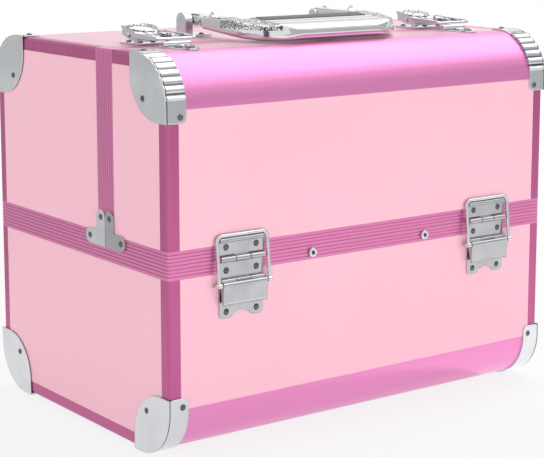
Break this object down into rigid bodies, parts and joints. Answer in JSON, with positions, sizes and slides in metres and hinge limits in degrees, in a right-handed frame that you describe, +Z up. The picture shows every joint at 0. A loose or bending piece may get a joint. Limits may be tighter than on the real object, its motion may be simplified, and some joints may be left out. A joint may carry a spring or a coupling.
{
  "type": "makeup storage case with handle",
  "caption": "Framed makeup case with a narrow front cover and a deep rear cover that swing apart over level trays on arms, hinge latches, top latches and a folding handle.",
  "frame": {"origin": "on the ground below the middle of the whole object", "axes": "+X to the right across the case, +Y from the narrow front cover to the rear, +Z up"},
  "size_m": [0.3346, 0.2414, 0.284],
  "materials": {
    "panel": "pale pink laminate with a satin sheen",
    "rail": "anodised metallic pink, brushed lengthwise",
    "chrome": "bright nickel plate on pressed steel",
    "steel": "zinc-plated links",
    "lining": "soft black foam lining",
    "grip": "dark grey strip let into the top of the handle",
    "tray": "black moulded plastic"
  },
  "bodies": {
    "base": {"base_front_panel": "panel", "base_rear_panel": "panel", "base_side_panels": "panel", "base_floor_panel": "panel", "base_bands": "rail", "base_edge_rails": "rail", "base_rim_rails": "rail", "base_protectors": "chrome", "base_rivets": "chrome", "base_lining": "lining", "front_latch_base_plates": "chrome", "rear_hinge_base_leaves": "chrome", "hinge_pins": "chrome", "tray_pivot_plates": "steel"},
    "front_cover": {"front_cover_front_panel": "panel", "front_cover_top_panel": "panel", "front_cover_side_panels": "panel", "front_cover_band": "rail", "front_cover_edge_rails": "rail", "front_cover_rim_and_split_rails": "rail", "front_cover_protectors": "chrome", "front_cover_braces": "chrome", "front_cover_rivets": "chrome", "front_cover_lining": "lining", "front_hinge_hook_plates": "chrome", "top_latch_keepers": "chrome"},
    "rear_cover": {"rear_cover_rear_panel": "panel", "rear_cover_top_panel": "panel", "rear_cover_side_panels": "panel", "rear_cover_band": "rail", "rear_cover_edge_rails": "rail", "rear_cover_rim_and_split_rails": "rail", "rear_cover_protectors": "chrome", "rear_cover_braces": "chrome", "rear_cover_rivets": "chrome", "rear_cover_lining": "lining", "rear_hinge_cover_leaves": "chrome", "top_latch_plates": "chrome", "handle_brackets": "chrome"},
    "front_left_lever": {"front_left_lever": "chrome"},
    "front_left_bail": {"front_left_bail": "chrome"},
    "front_left_bail_pin": {"front_left_bail_pin": "chrome"},
    "front_right_lever": {"front_right_lever": "chrome"},
    "front_right_bail": {"front_right_bail": "chrome"},
    "front_right_bail_pin": {"front_right_bail_pin": "chrome"},
    "top_left_lever": {"top_left_lever": "chrome"},
    "top_left_bail": {"top_left_bail": "chrome"},
    "top_left_bail_pin": {"top_left_bail_pin": "chrome"},
    "top_right_lever": {"top_right_lever": "chrome"},
    "top_right_bail": {"top_right_bail": "chrome"},
    "top_right_bail_pin": {"top_right_bail_pin": "chrome"},
    "handle": {"handle": "chrome", "handle_grip_inlay": "grip"},
    "handle_pins": {"handle_pins": "chrome"},
    "front_tray": {"front_tray": "tray"},
    "rear_tray": {"rear_tray": "tray"},
    "front_lead_arms": {"front_lead_arms": "steel"},
    "front_trail_arms": {"front_trail_arms": "steel"},
    "rear_lead_arms": {"rear_lead_arms": "steel"},
    "rear_trail_arms": {"rear_trail_arms": "steel"}
  },
  "joints": [
    {"name": "front_cover_swing", "type": "hinge", "parent": "base", "child": "front_cover", "pos_m": [0, -0.11625, 0.1302], "axis": [1, 0, 0], "range_deg": [0, 95]},
    {"name": "rear_cover_swing", "type": "hinge", "parent": "base", "child": "rear_cover", "pos_m": [0, 0.11825, 0.1302], "axis": [-1, 0, 0], "range_deg": [0, 95]},
    {"name": "front_lead_arms_turn", "type": "hinge", "parent": "base", "child": "front_lead_arms", "pos_m": [0, -0.10125, 0.1262], "axis": [1, 0, 0], "range_deg": [0, 90.5]},
    {"name": "front_trail_arms_turn", "type": "hinge", "parent": "base", "child": "front_trail_arms", "pos_m": [0, -0.08966, 0.12309], "axis": [1, 0, 0], "range_deg": [0, 90.5]},
    {"name": "front_tray_level", "type": "hinge", "parent": "front_lead_arms", "child": "front_tray", "pos_m": [0, -0.06228, 0.1487], "axis": [1, 0, 0], "range_deg": [-90.5, 0]},
    {"name": "rear_lead_arms_turn", "type": "hinge", "parent": "base", "child": "rear_lead_arms", "pos_m": [0, 0.10325, 0.1262], "axis": [-1, 0, 0], "range_deg": [0, 90.5]},
    {"name": "rear_trail_arms_turn", "type": "hinge", "parent": "base", "child": "rear_trail_arms", "pos_m": [0, 0.09166, 0.12309], "axis": [-1, 0, 0], "range_deg": [0, 90.5]},
    {"name": "rear_tray_level", "type": "hinge", "parent": "rear_lead_arms", "child": "rear_tray", "pos_m": [0, 0.03397, 0.1662], "axis": [-1, 0, 0], "range_deg": [-90.5, 0]},
    {"name": "front_left_lever_swing", "type": "hinge", "parent": "base", "child": "front_left_lever", "pos_m": [-0.109, -0.11655, 0.1159], "axis": [-1, 0, 0], "range_deg": [0, 100]},
    {"name": "front_left_bail_pin_turn", "type": "hinge", "parent": "front_left_lever", "child": "front_left_bail_pin", "pos_m": [-0.109, -0.11875, 0.1136], "axis": [1, 0, 0], "range_deg": [0, 96]},
    {"name": "front_left_bail_swing", "type": "hinge", "parent": "front_left_bail_pin", "child": "front_left_bail", "pos_m": [-0.109, -0.11875, 0.1136], "axis": [1, 0, 0], "range_deg": [0, 116]},
    {"name": "front_right_lever_swing", "type": "hinge", "parent": "base", "child": "front_right_lever", "pos_m": [0.109, -0.11655, 0.1159], "axis": [-1, 0, 0], "range_deg": [0, 100]},
    {"name": "front_right_bail_pin_turn", "type": "hinge", "parent": "front_right_lever", "child": "front_right_bail_pin", "pos_m": [0.109, -0.11875, 0.1136], "axis": [1, 0, 0], "range_deg": [0, 96]},
    {"name": "front_right_bail_swing", "type": "hinge", "parent": "front_right_bail_pin", "child": "front_right_bail", "pos_m": [0.109, -0.11875, 0.1136], "axis": [1, 0, 0], "range_deg": [0, 116]},
    {"name": "top_left_lever_swing", "type": "hinge", "parent": "rear_cover", "child": "top_left_lever", "pos_m": [-0.123, -0.03075, 0.2679], "axis": [1, 0, 0], "range_deg": [0, 100]},
    {"name": "top_left_bail_pin_turn", "type": "hinge", "parent": "top_left_lever", "child": "top_left_bail_pin", "pos_m": [-0.123, -0.02575, 0.2703], "axis": [-1, 0, 0], "range_deg": [0, 125]},
    {"name": "top_left_bail_swing", "type": "hinge", "parent": "top_left_bail_pin", "child": "top_left_bail", "pos_m": [-0.123, -0.02575, 0.2703], "axis": [-1, 0, 0], "range_deg": [0, 116]},
    {"name": "top_right_lever_swing", "type": "hinge", "parent": "rear_cover", "child": "top_right_lever", "pos_m": [0.123, -0.03075, 0.2679], "axis": [1, 0, 0], "range_deg": [0, 100]},
    {"name": "top_right_bail_pin_turn", "type": "hinge", "parent": "top_right_lever", "child": "top_right_bail_pin", "pos_m": [0.123, -0.02575, 0.2703], "axis": [-1, 0, 0], "range_deg": [0, 125]},
    {"name": "top_right_bail_swing", "type": "hinge", "parent": "top_right_bail_pin", "child": "top_right_bail", "pos_m": [0.123, -0.02575, 0.2703], "axis": [-1, 0, 0], "range_deg": [0, 116]},
    {"name": "handle_pins_turn", "type": "hinge", "parent": "rear_cover", "child": "handle_pins", "pos_m": [0, 0.01725, 0.2742], "axis": [-1, 0, 0], "range_deg": [0, 91]},
    {"name": "handle_swing", "type": "hinge", "parent": "handle_pins", "child": "handle", "pos_m": [0, 0.01725, 0.2742], "axis": [-1, 0, 0], "range_deg": [0, 84]}
  ],
  "couplings": [
    {"joint": "front_lead_arms_turn", "follows": "front_cover_swing", "ratio": 0.94737},
    {"joint": "front_trail_arms_turn", "follows": "front_cover_swing", "ratio": 0.94737},
    {"joint": "front_tray_level", "follows": "front_cover_swing", "ratio": -0.94737},
    {"joint": "rear_lead_arms_turn", "follows": "rear_cover_swing", "ratio": 0.94737},
    {"joint": "rear_trail_arms_turn", "follows": "rear_cover_swing", "ratio": 0.94737},
    {"joint": "rear_tray_level", "follows": "rear_cover_swing", "ratio": -0.94737},
    {"joint": "front_left_bail_pin_turn", "follows": "front_cover_swing", "ratio": 1},
    {"joint": "front_left_bail_swing", "follows": "front_left_lever_swing", "ratio": 1.15},
    {"joint": "front_right_bail_pin_turn", "follows": "front_cover_swing", "ratio": 1},
    {"joint": "front_right_bail_swing", "follows": "front_right_lever_swing", "ratio": 1.15},
    {"joint": "top_left_bail_pin_turn", "follows": "front_cover_swing", "ratio": 1.3},
    {"joint": "top_left_bail_swing", "follows": "top_left_lever_swing", "ratio": 1.12},
    {"joint": "top_right_bail_pin_turn", "follows": "front_cover_swing", "ratio": 1.3},
    {"joint": "top_right_bail_swing", "follows": "top_right_lever_swing", "ratio": 1.12},
    {"joint": "handle_pins_turn", "follows": "front_cover_swing", "ratio": 0.95}
  ]
}
